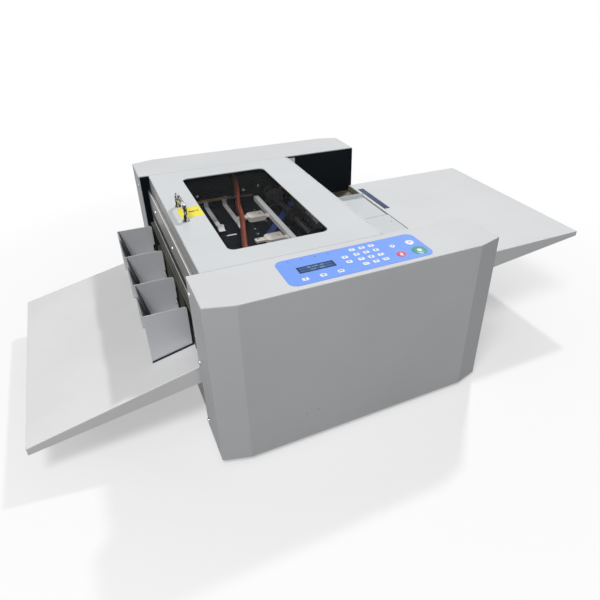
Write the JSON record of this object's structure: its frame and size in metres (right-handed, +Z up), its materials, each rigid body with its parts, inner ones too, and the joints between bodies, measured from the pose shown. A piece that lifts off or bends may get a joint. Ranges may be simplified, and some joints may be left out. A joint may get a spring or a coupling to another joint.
{
  "type": "business card cutter",
  "caption": "Sheet-fed desk machine that slits and cross-cuts printed sheets into business cards, with a feed table, hinged window lid, sloping exit table and card bins.",
  "frame": {"origin": "centre of the overall footprint, on the surface the rubber feet stand on", "axes": "+X against the sheet path, from the exit table to the feed table; +Y away from the operator; +Z up"},
  "size_m": [0.9496, 0.566, 0.294],
  "materials": {
    "cover_paint": "semi-gloss light grey",
    "lid_paint": "semi-gloss light grey",
    "table_paint": "semi-gloss off-white",
    "black_plate": "satin black",
    "plated_steel": "zinc plated",
    "panel_paint": "dull grey-green",
    "rubber": "matt black",
    "screw_steel": "bright",
    "window": "smoked acrylic",
    "handle_chrome": "polished",
    "blue_film": "printed film",
    "display": "clear window",
    "keys": "embossed film",
    "boards": "circuit board",
    "roller": "ground rubber on steel",
    "machined_steel": "ground",
    "arm_steel": "machined",
    "belt": "neoprene",
    "motor": "black",
    "bar_white": "white",
    "block": "bead blasted",
    "clear": "clear acrylic",
    "loom": "spiral wrap over red wires",
    "spring": "spring steel",
    "exit_plate": "grey paint",
    "bin_paint": "grey paint",
    "tray": "grey paint",
    "power_plastic": "black"
  },
  "bodies": {
    "frame": {"front_cover": "cover_paint", "rear_cover": "cover_paint", "front_side_plate": "black_plate", "rear_side_plate": "black_plate", "base_plate": "plated_steel", "cross_members": "plated_steel", "rubber_feet": "rubber", "exit_end_panel": "panel_paint", "feed_end_panel": "panel_paint", "cover_screws": "screw_steel", "frame_hinge_leaves": "screw_steel", "feeder_bridge": "plated_steel", "control_overlay": "blue_film", "display_window": "display", "membrane_keys": "keys", "control_board": "boards", "infeed_plate": "table_paint", "feed_table": "table_paint", "separation_pad": "rubber", "shaft_bearings": "machined_steel", "drive_belt": "belt", "drive_motor": "motor", "gear_motors": "motor", "bed_plate": "black_plate", "guide_bar": "bar_white", "pressure_blocks": "block", "clear_guides": "clear", "wiring_harness": "loom", "cutter_guides": "plated_steel", "lower_blade": "machined_steel", "return_springs": "spring", "exit_cover_plate": "exit_plate", "exit_lip_bar": "machined_steel", "exit_table": "table_paint", "electronics": "boards", "power_entry": "power_plastic"},
    "lid": {"top_lid": "lid_paint", "lid_window": "window", "lid_handle": "handle_chrome", "lid_hinge_leaves": "screw_steel"},
    "side_guide": {"side_guide": "table_paint"},
    "feed_roller": {"feed_roller": "roller"},
    "feed_arm": {"feed_arm": "arm_steel"},
    "pickup_roller": {"pickup_roller": "roller"},
    "lower_slitter": {"lower_slitter": "machined_steel"},
    "upper_slitter": {"upper_slitter": "machined_steel"},
    "transport_roller": {"transport_roller": "roller"},
    "lane_idlers": {"lane_idlers": "roller"},
    "exit_roller": {"exit_roller": "roller"},
    "exit_idler": {"exit_idler": "roller"},
    "motor_spindle": {"motor_spindle": "roller"},
    "cutter_beam": {"cutter_beam": "arm_steel", "upper_blade": "machined_steel"},
    "cam_shaft": {"cam_shaft": "machined_steel"},
    "bin_divider_1": {"bin_divider_1": "bin_paint"},
    "bin_divider_2": {"bin_divider_2": "bin_paint"},
    "bin_divider_3": {"bin_divider_3": "bin_paint"},
    "bin_divider_4": {"bin_divider_4": "bin_paint"},
    "waste_tray": {"waste_tray": "tray"},
    "power_rocker": {"power_rocker": "power_plastic"}
  },
  "joints": [
    {"name": "lid_hinge", "type": "hinge", "parent": "frame", "child": "lid", "pos_m": [0.04735, 0, 0.2635], "axis": [0, 1, 0], "range_deg": [0, 95]},
    {"name": "side_guide_slide", "type": "slide", "parent": "frame", "child": "side_guide", "axis": [0, 1, 0], "range_m": [-0.075, 0.039]},
    {"name": "feed_spin", "type": "hinge", "parent": "frame", "child": "feed_roller", "pos_m": [0.03485, 0, 0.1993], "axis": [0, 1, 0], "continuous": true},
    {"name": "feed_arm_lift", "type": "hinge", "parent": "frame", "child": "feed_arm", "pos_m": [0.03485, 0, 0.1993], "axis": [0, -1, 0], "range_deg": [0, 20]},
    {"name": "pickup_spin", "type": "hinge", "parent": "feed_arm", "child": "pickup_roller", "pos_m": [0.07085, 0, 0.1993], "axis": [0, 1, 0], "continuous": true},
    {"name": "slitter_spin", "type": "hinge", "parent": "frame", "child": "lower_slitter", "pos_m": [0.00385, 0, 0.166], "axis": [0, 1, 0], "continuous": true},
    {"name": "upper_slitter_spin", "type": "hinge", "parent": "frame", "child": "upper_slitter", "pos_m": [0.00385, 0, 0.202], "axis": [0, 1, 0], "continuous": true},
    {"name": "transport_spin", "type": "hinge", "parent": "frame", "child": "transport_roller", "pos_m": [-0.05315, 0, 0.172], "axis": [0, 1, 0], "continuous": true},
    {"name": "lane_idler_spin", "type": "hinge", "parent": "frame", "child": "lane_idlers", "pos_m": [-0.05315, 0, 0.1888], "axis": [0, 1, 0], "continuous": true},
    {"name": "exit_spin", "type": "hinge", "parent": "frame", "child": "exit_roller", "pos_m": [-0.21315, 0, 0.172], "axis": [0, 1, 0], "continuous": true},
    {"name": "exit_idler_spin", "type": "hinge", "parent": "frame", "child": "exit_idler", "pos_m": [-0.21315, 0, 0.1933], "axis": [0, 1, 0], "continuous": true},
    {"name": "motor_spin", "type": "hinge", "parent": "frame", "child": "motor_spindle", "pos_m": [-0.09115, 0, 0.098], "axis": [0, 1, 0], "continuous": true},
    {"name": "cutter_stroke", "type": "slide", "parent": "frame", "child": "cutter_beam", "axis": [0, 0, -1], "range_m": [0, 0.012], "stiffness_N_per_m": 2000, "springref_m": -0.015, "deforming": ["return_springs"]},
    {"name": "cam_turn", "type": "hinge", "parent": "frame", "child": "cam_shaft", "pos_m": [-0.19915, 0, 0.104], "axis": [0, 1, 0], "range_deg": [0, 180.5]},
    {"name": "bin_divider_1_slide", "type": "slide", "parent": "frame", "child": "bin_divider_1", "axis": [0, 1, 0], "range_m": [-0.015, 0.015]},
    {"name": "bin_divider_2_slide", "type": "slide", "parent": "frame", "child": "bin_divider_2", "axis": [0, 1, 0], "range_m": [-0.015, 0.015]},
    {"name": "bin_divider_3_slide", "type": "slide", "parent": "frame", "child": "bin_divider_3", "axis": [0, 1, 0], "range_m": [-0.015, 0.015]},
    {"name": "bin_divider_4_slide", "type": "slide", "parent": "frame", "child": "bin_divider_4", "axis": [0, 1, 0], "range_m": [-0.015, 0.015]},
    {"name": "waste_tray_slide", "type": "slide", "parent": "frame", "child": "waste_tray", "axis": [-1, 0, 0], "range_m": [0, 0.19]},
    {"name": "power_rocker_tilt", "type": "hinge", "parent": "frame", "child": "power_rocker", "pos_m": [0.19585, 0.243, 0.106], "axis": [0, 1, 0], "range_deg": [0, 16]}
  ],
  "couplings": [
    {"joint": "upper_slitter_spin", "follows": "slitter_spin", "ratio": -1},
    {"joint": "transport_spin", "follows": "slitter_spin", "ratio": 1},
    {"joint": "exit_spin", "follows": "slitter_spin", "ratio": 1},
    {"joint": "motor_spin", "follows": "slitter_spin", "ratio": 1},
    {"joint": "lane_idler_spin", "follows": "slitter_spin", "ratio": -2.6667},
    {"joint": "exit_idler_spin", "follows": "slitter_spin", "ratio": -1.3333},
    {"joint": "pickup_spin", "follows": "feed_spin", "ratio": 1},
    {"joint": "cam_turn", "follows": "cutter_stroke", "rad_per_m": 261.8}
  ]
}
